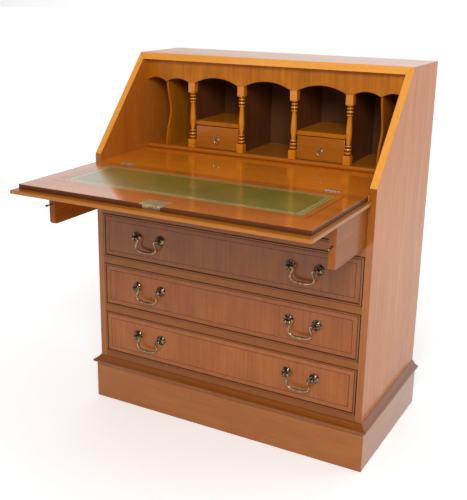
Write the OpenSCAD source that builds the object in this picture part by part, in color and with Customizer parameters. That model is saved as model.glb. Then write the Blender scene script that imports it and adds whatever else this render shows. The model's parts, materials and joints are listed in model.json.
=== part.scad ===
// Fall-front writing bureau with a gallery of pigeonholes, one frieze drawer between two
// pull-out lopers, three long drawers and a moulded plinth.
// +X is to the right, -Y is the front, +Z is up. The origin is on the floor, under the
// middle of the carcase. The fall is drawn open and the lopers are drawn out.

/* [Carcase] */
// Width over the two side panels
case_w = 828; // [800:1:840]
// Depth of the side panels
case_d = 444; // [440:1:460]
// Height from the floor to the top board
case_h = 1020; // [1018:1:1030]
// Thickness of the side panels
side_t = 19; // [18:0.5:20]
// Thickness of the top board
top_t = 18; // [17:0.5:19]
// Thickness of the back panel
back_t = 6; // [5:0.5:8]
// Angle of the sloping front above the horizontal
slope_angle = 48.6; // [48.4:0.1:48.8]

/* [Plinth] */
// Height of the plinth boards
plinth_h = 104; // [98:1:106]
// Thickness of the plinth boards
plinth_t = 18; // [16:1:20]
// How far the plinth stands proud of the carcase
plinth_out = 10; // [8:0.5:12]
// Height of the moulding on top of the plinth
moulding_h = 31.5; // [30:0.5:32]
// How far the moulding stands proud of the carcase
moulding_out = 19; // [17:0.5:20]

/* [Fall] */
// Height of the writing surface
deck_z = 736; // [735:1:738]
// Thickness of the fixed writing deck
deck_t = 20; // [19:0.5:21]
// Distance from the hinge line to the front of the fall's lip
fall_reach = 363; // [355:1:365]
// Distance from the hinge line to the front of the fall's raised board
raised_reach = 341; // [336:1:341]
// How far the raised board stands above the lip
raise_t = 12.5; // [11.5:0.5:13]
// Thickness of the lip
lip_t = 9.5; // [9:0.5:11]
// Distance from the carcase's outer face to the end of the lip
lip_inset = 9.5; // [8:0.5:11]
// Length of leather from left to right
leather_w = 664; // [640:1:670]
// Depth of leather from front to back
leather_d = 206; // [190:1:215]

/* [Lopers] */
// Thickness of each loper
loper_t = 18; // [17:0.5:19]
// Length of each loper
loper_l = 400; // [360:1:410]
// How far the left loper is drawn out
left_loper_out = 230; // [200:1:235]
// How far the right loper is drawn out
right_loper_out = 199; // [190:1:235]

/* [Drawers] */
// Height of a long drawer front
drawer_h = 128; // [126:0.5:128]
// Distance between the bottoms of two long drawers
drawer_pitch = 150.5; // [150:0.5:151]
// Length of a drawer from front to back
drawer_l = 405; // [380:1:410]
// Thickness of the drawer fronts
front_t = 18; // [16:1:20]
// Thickness of the drawer sides
drawer_side_t = 12; // [10:1:13]
// Width of the bead round each drawer front
bead_w = 5; // [4:0.5:6]
// How far the bead stands proud of the drawer front
bead_out = 2.5; // [2:0.5:3]

/* [Handles] */
// Distance between the two posts of a handle
post_gap = 80; // [76:1:84]
// Distance from the middle of the desk to the middle of a handle
handle_x = 238; // [225:1:245]
// Height of the bail pivot above the middle of a drawer front
handle_rise = 11; // [9:1:14]
// Drop of a bail below its pivot
bail_drop = 38; // [36:1:40]
// Depth of a bail from front to back
bail_t = 5.5; // [4:0.5:6]
// Thickness of a bail beside its posts
bail_end_w = 4; // [3.5:0.5:5]
// Thickness of a bail in the middle of its grip
bail_grip_w = 7; // [5:0.5:8]

/* [Gallery] */
// Distance from the carcase's front to the edge of the gallery base
gallery_back = 238; // [238:1:242]
// Thickness of the gallery base
gallery_base_t = 13; // [12:0.5:14]
// Width and depth of a baluster block
block_w = 21; // [20:0.5:22]
// Distance from the middle to the inner balusters
inner_baluster_x = 81.5; // [80:0.5:83]
// Distance from the middle to the outer balusters
outer_baluster_x = 243; // [242:0.5:244]
// Distance from the middle to the serpentine dividers
divider_x = 329; // [325:1:332]
// Height of the valance cusps above the floor
valance_z = 939; // [937:1:941]
// Height of a small drawer front
small_drawer_h = 65; // [62:1:65]

/* [Hidden] */
$fn = 48;

DRAWER_NAMES = ["frieze", "upper", "middle", "lower"];
WALNUT = [0.50, 0.27, 0.14];
YEW = [0.72, 0.42, 0.16];
AMBER = [0.82, 0.48, 0.14];
BEECH = [0.82, 0.70, 0.50];
BRASS = [0.55, 0.48, 0.30];

// carcase
front_y = -case_d / 2;
back_y = case_d / 2;
side_x = case_w / 2;
inner_x = side_x - side_t;
panel_y = back_y - back_t;
top_z = case_h - top_t;
gap = 0.3;
// Boards that are glued to each other in one node are drawn a hairline apart.
hairline = 0.1;

// The ledge of the closed fall lies this far off the slope.
closing_gap = 0.4;
slope_foot_z = deck_z + (raise_t - closing_gap) / cos(slope_angle);
slope_top_y = front_y + (case_h - slope_foot_z) / tan(slope_angle);
closed_turn = 180 - slope_angle;
plinth_x = side_x + plinth_out;
plinth_y = front_y - plinth_out;

// drawer openings
bottom_t = 17.5;
bottom_z = plinth_h + moulding_h - 1.5;
drawer_gap = 1;
first_drawer_z = bottom_z + bottom_t + drawer_gap;
rail_d = 60;
bottom_rail_d = 22;
rail_t = drawer_pitch - drawer_h - 2 * drawer_gap;
runner_w = 18;
under_z = deck_z - raise_t - lip_t;
top_rail_z = first_drawer_z + 2 * drawer_pitch + drawer_h + drawer_gap;
loper_h = 107.5;
loper_floor_z = under_z - loper_h;
dust_board_t = 10;
long_drawer_x = inner_x - 2;

// lopers and the guides beside them
loper_play = 0.7;
loper_x = inner_x - loper_play - loper_t;
guide_t = 12;
guide_x = loper_x - loper_play - guide_t;
knob_z = loper_floor_z + loper_h / 2;
knob_l = 24;

// the frieze drawer is item 0, the long drawers follow from the top down
drawer_x = [guide_x - 1, long_drawer_x, long_drawer_x, long_drawer_x];
drawer_z = [
    loper_floor_z + drawer_gap,
    for (n = [2:-1:0]) first_drawer_z + n * drawer_pitch,
];
drawer_heights = [under_z - 1 - drawer_z[0], drawer_h, drawer_h, drawer_h];
face_y = front_y + 1;
bead_d = 9;

// handles
post_l = 15;
pivot_y = face_y - post_l;
rosette_r = 14.5;
rosette_t = 2.5;
post_r = 4;
ball_r = 6;
pin_r = 2;
running_fit = 0.05;
// Where the grip of a bail ends beside its post, and how far its pins reach into the post.
bail_end_x = 33;
pin_end_x = 43;

// fall
raised_x = inner_x - 1.6;
lip_x = side_x - lip_inset;
leather_t = 1.2;
leather_back = 42;
hinge_x = 302;
hinge_w = 40;
leaf_d = 15;
leaf_t = 2;
knuckle_r = 2.4;
knuckle_n = 5;
hinge_pin_r = 1.2;
hinge_clear = 0.4;
lock_w = 64;
lock_d = 42;
lock_lip_w = 48;
lock_t = 2;
case_depth = 8;
bolt_w = 16;
bolt_t = 4;
bolt_l = 30;
bolt_throw = 12;
bolt_z = deck_z - raise_t / 2 - 0.5;
lock_y = front_y - raised_reach;
escutcheon_r = 8;
keep_w = 36;
keep_d = 16;
keep_t = 1.5;
keep_y = slope_top_y - 13;

// gallery
gallery_y = front_y + gallery_back;
block_y = gallery_y + 3;
gallery_floor_z = deck_z + gallery_base_t;
block_bottom_z = 909;
base_block_z = 783;
valance_t = 12;
arch_rise = 18;
small_arch_rise = 10;
divider_t = 6;
partition_t = 9;
partition_y = block_y + block_w;
shelf_t = 12;
small_drawer_gap = 0.8;
small_drawer_z = gallery_floor_z + small_drawer_gap;
shelf_z = small_drawer_z + small_drawer_h + small_drawer_gap;
small_drawer_l = 150;
small_front_t = 9;
small_side_t = 6;
bay_x = (inner_baluster_x + outer_baluster_x) / 2;
small_drawer_x = (outer_baluster_x - inner_baluster_x - block_w) / 2 - 0.5;
small_front_y = block_y + 12;
ring_r = 8;
ring_wire_r = 1;
eye_r = 2.6;
eye_t = 2.4;
ring_z = small_drawer_z + small_drawer_h / 2;
ring_out = 4;
ring_y = small_front_y - ring_out;

// A prism along X between x0 and x1 from an outline in Y and Z.
module along_x(x0, x1) {
    translate([x0, 0, 0])
        rotate([90, 0, 90])
            linear_extrude(x1 - x0)
                children();
}

// A prism along Y between y0 and y1 from an outline in X and Z.
module along_y(y0, y1) {
    translate([0, y1, 0])
        rotate([90, 0, 0])
            linear_extrude(y1 - y0)
                children();
}

// A block between two corners.
module block(low, high) {
    translate(low)
        cube(high - low);
}

// The same thing on the right and, mirrored, on the left.
module both_sides() {
    children();
    mirror([1, 0, 0])
        children();
}

// Carries something drawn on the open fall to its place when the fall is closed.
module closed() {
    translate([0, front_y, deck_z])
        rotate([-closed_turn, 0, 0])
            translate([0, -front_y, -deck_z])
                children();
}

// A point on the cubic curve through the four control points p.
function curve_point(p, t) =
    pow(1 - t, 3) * p[0] + 3 * t * pow(1 - t, 2) * p[1]
    + 3 * t * t * (1 - t) * p[2] + pow(t, 3) * p[3];
// The curve in steps, without its first point.
function curve(p, steps) = [for (i = [1:steps]) curve_point(p, i / steps)];

// ---------------------------------------------------------------- carcase

module case_outline() {
    polygon([
        [front_y, plinth_h], [back_y, plinth_h], [back_y, case_h],
        [slope_top_y, case_h], [front_y, slope_foot_z],
    ]);
}

// A side panel runs from the plinth to the top and meets the top board in a mitre.
module side_panel() {
    color(WALNUT)
        intersection() {
            along_x(inner_x, side_x)
                case_outline();
            along_y(front_y, back_y)
                polygon([
                    [inner_x, plinth_h], [side_x, plinth_h],
                    [side_x, case_h], [inner_x, top_z],
                ]);
        }
}

module left_side() {
    mirror([1, 0, 0])
        side_panel();
}

module right_side() {
    side_panel();
}

module top_board() {
    color(WALNUT)
        difference() {
            intersection() {
                along_x(-side_x, side_x)
                    case_outline();
                along_y(front_y, back_y)
                    polygon([
                        [-side_x, case_h], [side_x, case_h],
                        [inner_x, top_z], [-inner_x, top_z],
                    ]);
            }
            keep_recess();
        }
}

module back_panel() {
    color(BEECH)
        block([-inner_x, panel_y, plinth_h], [inner_x, back_y, top_z]);
}

module bottom_board() {
    color(BEECH)
        block([-inner_x, front_y + bottom_rail_d, bottom_z], [inner_x, panel_y, bottom_z + bottom_t]);
}

// ---------------------------------------------------------------- plinth

module plinth_front() {
    color(YEW)
        linear_extrude(plinth_h)
            polygon([
                [-plinth_x, plinth_y], [plinth_x, plinth_y],
                [plinth_x - plinth_t, plinth_y + plinth_t],
                [plinth_t - plinth_x, plinth_y + plinth_t],
            ]);
}

module plinth_sides() {
    color(YEW)
        both_sides()
            linear_extrude(plinth_h)
                polygon([
                    [plinth_x, plinth_y], [plinth_x, back_y],
                    [plinth_x - plinth_t, back_y],
                    [plinth_x - plinth_t, plinth_y + plinth_t],
                ]);
}

// A back rail and a middle bearer carry the carcase between the plinth boards.
module plinth_bearers() {
    inside_x = plinth_x - plinth_t;
    rail_y = back_y - plinth_t;
    color(BEECH) {
        block([-inside_x, rail_y, 0], [inside_x, back_y, plinth_h]);
        difference() {
            block([-plinth_t / 2, plinth_y + plinth_t, 0],
                  [plinth_t / 2, rail_y - hairline, bottom_z]);
            block([-plinth_t, plinth_y, plinth_h],
                  [plinth_t, front_y + bottom_rail_d, bottom_z + 1]);
        }
    }
}

// The moulding's outline from the carcase face: a cyma falls outwards to a round nose.
function moulding_outline() = let (nose_r = 5, nose_z = 14) concat(
    [[0, 0], [0, moulding_h]],
    curve([[0, moulding_h], [6, moulding_h - 1], [5, nose_z + 8],
           [moulding_out - nose_r, nose_z + nose_r]], 8),
    [for (a = [60:-30:-60]) [moulding_out - nose_r + nose_r * cos(a), nose_z + nose_r * sin(a)]],
    [[plinth_out + 2, nose_z - nose_r], [plinth_out, nose_z - nose_r - 3], [plinth_out, 0]]
);

// Three lengths of moulding, mitred at the front corners.
module plinth_moulding() {
    color(YEW) {
        intersection() {
            translate([0, front_y, plinth_h])
                along_x(-case_w, case_w)
                    mirror([1, 0])
                        polygon(moulding_outline());
            linear_extrude(case_h)
                translate([0, front_y])
                    mitred_strip(side_x + case_d, case_d, case_d);
        }
        both_sides()
            intersection() {
                translate([side_x, 0, plinth_h])
                    along_y(front_y - case_d, back_y)
                        polygon(moulding_outline());
                linear_extrude(case_h)
                    polygon([
                        [side_x, front_y + hairline],
                        [side_x + case_d, front_y - case_d + hairline],
                        [side_x + case_d, back_y], [side_x, back_y],
                    ]);
            }
    }
}

// ---------------------------------------------------------------- inside the carcase

// The rails above and below the long drawers; the lowest one stands on the plinth.
module drawer_rails() {
    color(YEW) {
        block([-inner_x, front_y, plinth_h],
              [inner_x, front_y + bottom_rail_d, bottom_z + bottom_t]);
        for (n = [1, 2])
            block([-inner_x, front_y, first_drawer_z + n * drawer_pitch - drawer_gap - rail_t],
                  [inner_x, front_y + rail_d, first_drawer_z + n * drawer_pitch - drawer_gap]);
        block([-inner_x, front_y, top_rail_z], [inner_x, front_y + rail_d, loper_floor_z]);
    }
}

// Each long drawer above the lowest slides on a runner at either side.
module drawer_runners() {
    color(BEECH)
        both_sides()
            for (n = [1, 2])
                block([inner_x - runner_w, front_y + rail_d,
                       first_drawer_z + n * drawer_pitch - drawer_gap - rail_t],
                      [inner_x, panel_y, first_drawer_z + n * drawer_pitch - drawer_gap]);
}

// The board that carries the frieze drawer and the lopers.
module dust_board() {
    color(BEECH)
        block([-inner_x, front_y + rail_d, loper_floor_z - dust_board_t],
              [inner_x, panel_y, loper_floor_z]);
}

module loper_guides() {
    color(YEW)
        both_sides()
            block([guide_x, front_y, loper_floor_z],
                  [guide_x + guide_t, panel_y, deck_z - deck_t]);
}

module writing_deck() {
    color(AMBER)
        difference() {
            block([-inner_x, front_y, deck_z - deck_t], [inner_x, panel_y, deck_z]);
            both_sides()
                hinge_recess(1);
        }
}

// ---------------------------------------------------------------- hinges

// The room for a hinge: a shallow recess for the leaf and a channel for the knuckles.
// way is 1 for the leaf on the deck and -1 for the leaf on the fall.
module hinge_recess(way) {
    translate([hinge_x - hinge_w / 2, front_y, deck_z]) {
        translate([0, way > 0 ? 0 : -leaf_d, -leaf_t])
            cube([hinge_w, leaf_d, leaf_t + 1]);
        rotate([0, 90, 0])
            cylinder(r = knuckle_r + hinge_clear, h = hinge_w);
    }
}

// One leaf with every second knuckle, starting from the knuckle number first.
module hinge_leaf(way, first, bore_r) {
    step = hinge_w / knuckle_n;
    translate([hinge_x - hinge_w / 2, front_y, deck_z])
        difference() {
            union() {
                translate([0, way > 0 ? 0 : -leaf_d, -leaf_t])
                    cube([hinge_w, leaf_d, leaf_t]);
                for (n = [first:2:knuckle_n - 1])
                    translate([n * step, 0, 0])
                        rotate([0, 90, 0])
                            cylinder(r = knuckle_r, h = step);
            }
            for (n = [1 - first:2:knuckle_n - 1])
                translate([n * step - gap / 2, 0, 0])
                    rotate([0, 90, 0])
                        cylinder(r = knuckle_r + hinge_clear, h = step + gap);
            rotate([0, 90, 0])
                cylinder(r = bore_r, h = hinge_w);
        }
}

module deck_hinge_leaves() {
    color(BRASS)
        both_sides()
            hinge_leaf(1, 0, hinge_pin_r);
}

module fall_hinge_leaves() {
    color(BRASS)
        both_sides()
            hinge_leaf(-1, 1, hinge_pin_r + running_fit);
}

module hinge_pins() {
    color(BRASS)
        both_sides()
            translate([hinge_x - hinge_w / 2, front_y, deck_z])
                rotate([0, 90, 0])
                    cylinder(r = hinge_pin_r, h = hinge_w);
}

// ---------------------------------------------------------------- fall and its lock

module fall_board() {
    back = front_y - gap;
    color(AMBER)
        difference() {
            union() {
                block([-raised_x, front_y - raised_reach, deck_z - raise_t - lip_t],
                      [raised_x, back, deck_z]);
                block([-lip_x, front_y - fall_reach, deck_z - raise_t - lip_t],
                      [lip_x, back, deck_z - raise_t]);
            }
            block([-leather_w / 2, front_y - leather_back - leather_d, deck_z - leather_t],
                  [leather_w / 2, front_y - leather_back, deck_z + 1]);
            both_sides()
                hinge_recess(-1);
            lock_room();
        }
}

module fall_leather() {
    color([0.40, 0.38, 0.12])
        block([-leather_w / 2, front_y - leather_back - leather_d, deck_z - leather_t],
              [leather_w / 2, front_y - leather_back, deck_z]);
}

// The recess for the lock's plates and case, and the lined keyhole from the outside.
module lock_room() {
    block([-lock_w / 2, lock_y, deck_z - lock_t], [lock_w / 2, lock_y + lock_d, deck_z + 1]);
    block([-lock_lip_w / 2, lock_y - 1, deck_z - raise_t],
          [lock_lip_w / 2, lock_y + lock_t, deck_z + 1]);
    block([-lock_lip_w / 2, lock_y, deck_z - lock_t - case_depth],
          [lock_lip_w / 2, lock_y + lock_d - 6, deck_z]);
    translate([0, lock_y + lock_d / 2, under_z - 1])
        cylinder(r = escutcheon_r, h = lock_t + 1);
    keyhole(3);
}

module keyhole(r) {
    translate([0, lock_y + lock_d / 2, under_z - 1])
        cylinder(r = r, h = bolt_z - under_z + 1);
}

// Plate on top, lip down the edge of the board, and a hollow case that holds the bolt. A ring
// lines the keyhole on the outer face.
module fall_lock() {
    color(BRASS)
        difference() {
            union() {
                block([-lock_w / 2, lock_y, deck_z - lock_t],
                      [lock_w / 2, lock_y + lock_d, deck_z]);
                block([-lock_lip_w / 2, lock_y, deck_z - raise_t],
                      [lock_lip_w / 2, lock_y + lock_t, deck_z]);
                block([-lock_lip_w / 2, lock_y, deck_z - lock_t - case_depth],
                      [lock_lip_w / 2, lock_y + lock_d - 6, deck_z]);
            }
            block([-bolt_w / 2 - gap, lock_y - 1, bolt_z - bolt_t / 2 - gap],
                  [bolt_w / 2 + gap, lock_y + bolt_l + 2, bolt_z + bolt_t / 2 + gap]);
            keyhole(2);
        }
    color(BRASS)
        translate([0, lock_y + lock_d / 2, under_z])
            difference() {
                cylinder(r = escutcheon_r, h = lock_t);
                translate([0, 0, -1])
                    cylinder(r = escutcheon_r - 4, h = lock_t + 2);
            }
}

// The bolt is drawn back; it slides towards the front edge of the fall.
module lock_bolt() {
    color(BRASS)
        block([-bolt_w / 2, lock_y + 1, bolt_z - bolt_t / 2],
              [bolt_w / 2, lock_y + bolt_l, bolt_z + bolt_t / 2]);
}

// Where the bolt goes when it is shot with the fall closed.
module bolt_way(room) {
    closed()
        block([-bolt_w / 2 - room, lock_y - bolt_throw - 2, bolt_z - bolt_t / 2 - room],
              [bolt_w / 2 + room, lock_y, bolt_z + bolt_t / 2 + room]);
}

module keep_recess() {
    block([-keep_w / 2, keep_y, top_z - 1], [keep_w / 2, keep_y + keep_d, top_z + keep_t]);
    bolt_way(1);
}

// The keep is a plate let into the underside of the top board.
module lock_keep() {
    color(BRASS)
        difference() {
            block([-keep_w / 2, keep_y, top_z], [keep_w / 2, keep_y + keep_d, top_z + keep_t]);
            bolt_way(0.8);
        }
}

// ---------------------------------------------------------------- lopers

// A loper is a plain board; the lower corner of its front end is rounded.
module loper(out) {
    corner_r = 7;
    y0 = front_y - out;
    z0 = loper_floor_z + gap;
    z1 = under_z - gap;
    color(WALNUT)
        along_x(loper_x, loper_x + loper_t)
            polygon(concat(
                [for (a = [180:15:270]) [y0 + corner_r + corner_r * cos(a),
                                         z0 + corner_r + corner_r * sin(a)]],
                [[y0 + loper_l, z0], [y0 + loper_l, z1], [y0, z1]]
            ));
}

module right_loper() {
    loper(right_loper_out);
}

module left_loper() {
    mirror([1, 0, 0])
        loper(left_loper_out);
}

// A small turned pull on the front end of a loper.
module loper_knob(out) {
    neck_r = 1.8;
    head_r = 3.6;
    color(BRASS)
        translate([loper_x + loper_t / 2, front_y - out, knob_z])
            rotate([90, 0, 0])
                rotate_extrude()
                    polygon(concat(
                        [[0, 0], [4, 0], [4, 1.5], [neck_r, 3], [neck_r, knob_l - 2 * head_r]],
                        [for (a = [-45:15:90]) [head_r * cos(a), knob_l - head_r + head_r * sin(a)]]
                    ));
}

module right_loper_knob() {
    loper_knob(right_loper_out);
}

module left_loper_knob() {
    mirror([1, 0, 0])
        loper_knob(left_loper_out);
}

// ---------------------------------------------------------------- drawers

// The front board, rebated all round for the bead.
module drawer_front(n) {
    x = drawer_x[n];
    z = drawer_z[n];
    h = drawer_heights[n];
    color(WALNUT)
        difference() {
            block([-x, face_y, z], [x, face_y + front_t, z + h]);
            along_y(face_y - 1, face_y + bead_d)
                bead_outline(x, z, h);
        }
}

module bead_outline(x, z, h) {
    difference() {
        translate([-x - 1, z - 1])
            square([2 * x + 2, h + 2]);
        translate([bead_w - x, z + bead_w])
            square([2 * (x - bead_w), h - 2 * bead_w]);
    }
}

// A strip of width w below the middle, its lower edge 2 * half long at the distance out.
module mitred_strip(half, out, w) {
    polygon([[-half, -out], [half, -out], [half - w, w - out], [w - half, w - out]]);
}

// Four strips with mitred ends, standing proud of the front board.
module drawer_bead(n) {
    x = drawer_x[n];
    z = drawer_z[n];
    h = drawer_heights[n];
    color(YEW)
        along_y(face_y - bead_out, face_y + bead_d)
            translate([0, z + h / 2]) {
                for (up = [0, 1])
                    mirror([0, up])
                        mitred_strip(x - hairline, h / 2, bead_w);
                for (left = [90, -90])
                    rotate(left)
                        mitred_strip(h / 2 - hairline, x, bead_w);
            }
}

// Two sides, a back and a bottom, each a separate board.
module drawer_box(n) {
    x = drawer_x[n] - 3;
    z = drawer_z[n];
    top = z + drawer_heights[n] - 14;
    y0 = face_y + front_t;
    y1 = face_y + drawer_l;
    back_board_t = 10;
    floor_t = 5;
    floor_z = z + 8;
    inside = x - drawer_side_t - hairline;
    color(BEECH) {
        both_sides()
            block([x - drawer_side_t, y0, z], [x, y1, top]);
        block([-inside, y1 - back_board_t, floor_z + floor_t + hairline], [inside, y1, top]);
        block([-inside, y0, floor_z], [inside, y1, floor_z + floor_t]);
    }
}

// The middle of a handle's pivot line on drawer n.
function pivot_z(n) = drawer_z[n] + drawer_heights[n] / 2 + handle_rise;

// A round rosette and a post with a ball end, bored for the pin of the bail.
module handle_post() {
    difference() {
        rotate([90, 0, 0])
            rotate_extrude()
                polygon(concat(
                    [[0, -post_l], [rosette_r, -post_l], [rosette_r, 1 - post_l],
                     [rosette_r - 2, rosette_t - post_l], [post_r + 2, rosette_t + 1 - post_l],
                     [post_r, rosette_t + 3 - post_l], [post_r - 1, -ball_r - 1]],
                    [for (a = [-60:15:90]) [ball_r * cos(a), ball_r * sin(a)]]
                ));
        translate([-ball_r, 0, 0])
            rotate([0, 90, 0])
                cylinder(r = pin_r + running_fit, h = 2 * ball_r);
    }
}

module drawer_posts(n) {
    color(BRASS)
        both_sides()
            for (side = [-1, 1])
                translate([handle_x + side * post_gap / 2, pivot_y, pivot_z(n)])
                    handle_post();
}

// The centre line of the right half of a swan-neck bail, from the curl by the post down to
// the middle of the grip. X is measured from the middle of the handle and Z from the pivot.
function bail_line() = concat(
    [[bail_end_x, 0]],
    curve([[bail_end_x, 0], [27, 0], [25, -5], [28.5, -10.5]], 6),
    curve([[28.5, -10.5], [33.5, -18], [37, -28], [26, -bail_drop + 4]], 8),
    curve([[26, -bail_drop + 4], [19, -bail_drop], [8, -bail_drop], [0, -bail_drop]], 5)
);

// The outline of a strip that follows the points p and swells from width w0 to width w1.
function strip(p, w0, w1) = let (
    last = len(p) - 1,
    way = [for (i = [0:last]) p[min(i + 1, last)] - p[max(i - 1, 0)]],
    w = [for (i = [0:last]) w0 + (w1 - w0) * pow(i / last, 2)],
    side = [for (i = [0:last]) [-way[i][1], way[i][0]] / norm(way[i]) * w[i] / 2]
) concat(
    [for (i = [0:last]) p[i] + side[i]],
    [for (i = [last:-1:0]) p[i] - side[i]]
);

module bail() {
    line = bail_line();
    for (side = [0, 1])
        mirror([side, 0, 0]) {
            along_y(-bail_t / 2, bail_t / 2)
                polygon(strip(line, bail_end_w, bail_grip_w));
            translate([bail_end_x - 1, 0, 0])
                rotate([0, 90, 0])
                    cylinder(r = pin_r, h = pin_end_x - bail_end_x + 1);
        }
}

module drawer_bail(n, side) {
    color(BRASS)
        translate([side * handle_x, pivot_y, pivot_z(n)])
            bail();
}

// ---------------------------------------------------------------- gallery

// The base of the gallery has a rounded front edge.
module gallery_base() {
    nose_r = gallery_base_t / 2;
    color(AMBER)
        along_x(-inner_x + gap, inner_x - gap)
            polygon(concat(
                [[panel_y, deck_z], [panel_y, gallery_floor_z]],
                [for (a = [90:15:270]) [gallery_y + nose_r + nose_r * cos(a),
                                        deck_z + nose_r + nose_r * sin(a)]]
            ));
}

module gallery_partitions() {
    color(YEW)
        both_sides()
            for (x = [inner_baluster_x, outer_baluster_x])
                block([x - partition_t / 2, partition_y, gallery_floor_z],
                      [x + partition_t / 2, panel_y, top_z]);
}

// The thin outer dividers have a serpentine front edge, measured back from the baluster face.
module gallery_dividers() {
    z0 = gallery_floor_z;
    y0 = block_y;
    color(YEW)
        both_sides()
            along_x(divider_x - divider_t / 2, divider_x + divider_t / 2)
                polygon(concat(
                    [[panel_y, top_z], [panel_y, z0], [y0, z0]],
                    curve([[y0, z0], [y0 + 2, z0 + 45], [y0 + 12, z0 + 60],
                           [y0 + 22, z0 + 85]], 8),
                    curve([[y0 + 22, z0 + 85], [y0 + 32, z0 + 110], [y0 + 9, z0 + 150],
                           [y0 + 6, valance_z]], 8),
                    [[y0 + valance_t, valance_z], [y0 + valance_t, top_z]]
                ));
}

module gallery_shelves() {
    color(AMBER)
        both_sides()
            block([inner_baluster_x + partition_t / 2, partition_y, shelf_z],
                  [outer_baluster_x - partition_t / 2, panel_y, shelf_z + shelf_t]);
}

// Points along a shallow round arch over a bay, given as [left x, right x, rise].
function arch(bay) = let (
    half = (bay[1] - bay[0]) / 2,
    r = (half * half + bay[2] * bay[2]) / (2 * bay[2]),
    steps = 9,
    spread = asin(half / r)
) [for (i = [-steps:steps]) [bay[0] + half + r * sin(spread * i / steps),
                             valance_z + bay[2] - r + r * cos(spread * i / steps)]];

// The bays to the right of the centre one, from the middle outwards.
valance_x = inner_x - gap;
right_bays = [
    [inner_baluster_x + block_w / 2, outer_baluster_x - block_w / 2, arch_rise],
    [outer_baluster_x + block_w / 2, divider_x - divider_t / 2, small_arch_rise],
    [divider_x + divider_t / 2, valance_x, small_arch_rise],
];
bays = [
    for (n = [2:-1:0]) [-right_bays[n][1], -right_bays[n][0], right_bays[n][2]],
    [block_w / 2 - inner_baluster_x, inner_baluster_x - block_w / 2, arch_rise],
    each right_bays,
];

module gallery_valance() {
    color(AMBER)
        along_y(block_y, block_y + valance_t)
            polygon([[valance_x, top_z], [-valance_x, top_z], for (bay = bays) each arch(bay)]);
}

// A turned bead of the given height between z and z + h, as a profile bulging to radius r.
function bead(z, h, r) = [for (a = [-60:30:60]) [r - h / 2 + h / 2 * cos(a), z + h / 2 + h / 2 * sin(a)]];

// The turned stretch of a baluster from the base block up to the top block.
function baluster_profile() = concat(
    [[0, base_block_z - 3], [5, base_block_z - 3]],
    bead(base_block_z + 1, 6, 8), bead(base_block_z + 8, 6, 8.5), bead(base_block_z + 19, 8, 8),
    [[5.5, base_block_z + 29]],
    curve([[5.5, base_block_z + 29], [8.6, base_block_z + 40], [8.8, base_block_z + 58],
           [6.6, base_block_z + 80]], 8),
    [[6, block_bottom_z - 20]],
    bead(block_bottom_z - 19, 7, 8.5), bead(block_bottom_z - 10, 7, 8.5),
    [[5, block_bottom_z - 1], [5, block_bottom_z + 3], [0, block_bottom_z + 3]]
);

// A square block whose end is rounded off towards the turned stretch.
module baluster_block(z0, z1, round_top) {
    dome_r = block_w * 0.75;
    intersection() {
        translate([-block_w / 2, -block_w / 2, z0])
            cube([block_w, block_w, z1 - z0]);
        translate([0, 0, round_top ? z0 : z1])
            mirror([0, 0, round_top ? 0 : 1])
                rotate_extrude()
                    polygon(concat(
                        [[0, 0], [dome_r, 0]],
                        [for (a = [0:15:60]) [dome_r - 8 + 8 * cos(a), z1 - z0 - 7 + 8 * sin(a)]],
                        [[0, z1 - z0]]
                    ));
    }
}

module gallery_balusters() {
    color(AMBER)
        both_sides()
            for (x = [inner_baluster_x, outer_baluster_x])
                translate([x, block_y + block_w / 2, 0]) {
                    rotate_extrude()
                        polygon(baluster_profile());
                    baluster_block(gallery_floor_z, base_block_z, true);
                    baluster_block(block_bottom_z, valance_z, false);
                }
}

// ---------------------------------------------------------------- small drawers

// A front, two sides, a back and a bottom, with the eye for the ring screwed to the front.
module small_drawer() {
    x = small_drawer_x;
    z = small_drawer_z;
    top = z + small_drawer_h;
    y0 = small_front_y;
    y1 = y0 + small_drawer_l;
    floor_t = 4;
    inside = x - small_side_t - hairline;
    translate([bay_x, 0, 0]) {
        color(WALNUT)
            block([-x, y0, z], [x, y0 + small_front_t, top]);
        color(BEECH) {
            both_sides()
                block([x - small_side_t, y0 + small_front_t + hairline, z], [x, y1, top - 4]);
            block([-inside, y1 - small_side_t, z + floor_t + hairline], [inside, y1, top - 4]);
            block([-inside, y0 + small_front_t + hairline, z], [inside, y1, z + floor_t]);
        }
        color(BRASS)
            ring_eye();
    }
}

// The eye that the ring hangs in: a round plate and a bored tab.
module ring_eye() {
    plate_t = 1;
    y1 = small_front_y - hairline;
    translate([0, y1, ring_z])
        rotate([90, 0, 0])
            cylinder(r = ring_r, h = plate_t);
    along_x(-eye_t / 2, eye_t / 2)
        difference() {
            union() {
                translate([ring_y, ring_z])
                    circle(r = eye_r);
                translate([ring_y, ring_z - eye_t / 2])
                    square([y1 - ring_y, eye_t]);
            }
            translate([ring_y, ring_z])
                circle(r = ring_wire_r + 0.45);
        }
}

module ring_pull() {
    color(BRASS)
        translate([bay_x, ring_y, ring_z - ring_r])
            rotate([90, 0, 0])
                rotate_extrude()
                    translate([ring_r, 0])
                        circle(r = ring_wire_r, $fn = 24);
}

module right_small_drawer() {
    small_drawer();
}

module left_small_drawer() {
    mirror([1, 0, 0])
        small_drawer();
}

module right_ring_pull() {
    ring_pull();
}

module left_ring_pull() {
    mirror([1, 0, 0])
        ring_pull();
}

// ---------------------------------------------------------------- nodes

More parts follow.
